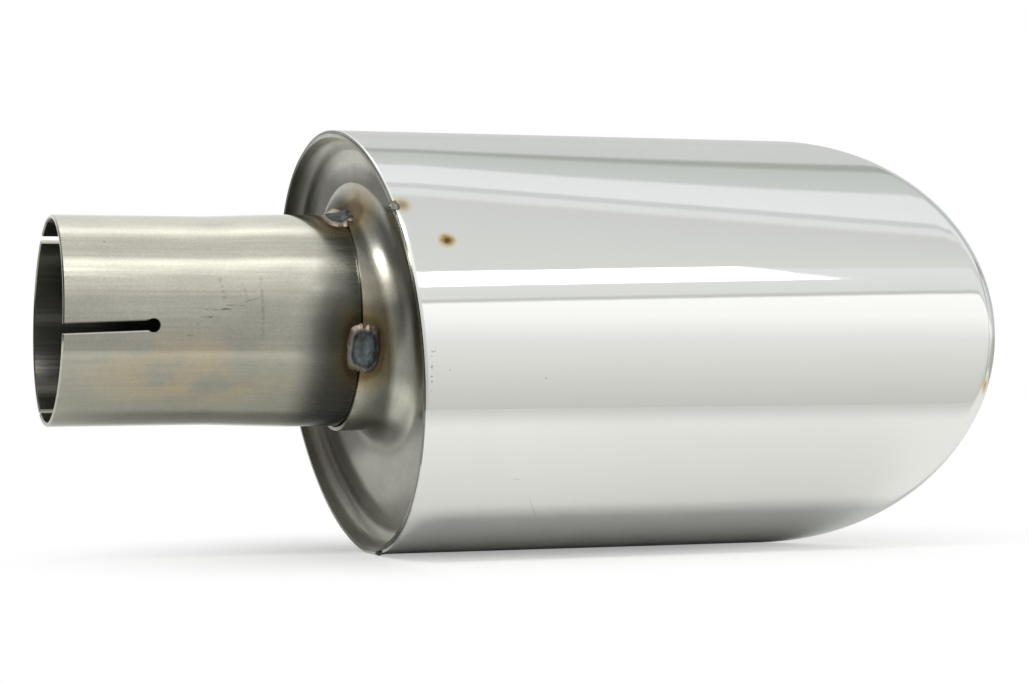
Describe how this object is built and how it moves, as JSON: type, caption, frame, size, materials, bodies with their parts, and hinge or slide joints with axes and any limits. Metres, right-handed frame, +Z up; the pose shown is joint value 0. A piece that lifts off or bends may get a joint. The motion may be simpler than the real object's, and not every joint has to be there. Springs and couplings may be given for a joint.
{
  "type": "exhaust tip",
  "caption": "Round slash-cut exhaust tip with a rolled-in outlet edge, a pressed inlet end plate and an off-centre slotted inlet pipe that clamps on a tailpipe.",
  "frame": {"origin": "centre of the inlet pipe's open end", "axes": "+X along the pipe from the tailpipe to the outlet, +Z up with the shell's axis below the pipe's, and the long side of the slash-cut outlet towards -Y"},
  "size_m": [0.261, 0.12, 0.1199],
  "materials": {
    "polished_shell": "mirror-polished stainless steel",
    "pressed_plate": "satin pressed stainless steel",
    "mill_pipe": "mill-finished stainless steel with fine lengthwise scratches",
    "weld_metal": "rippled weld metal, blue-grey"
  },
  "bodies": {
    "root": {"outer_shell": "polished_shell", "end_plate": "pressed_plate", "inlet_pipe": "mill_pipe", "neck_tack_welds": "weld_metal", "rim_tack_welds": "weld_metal"}
  },
  "joints": []
}
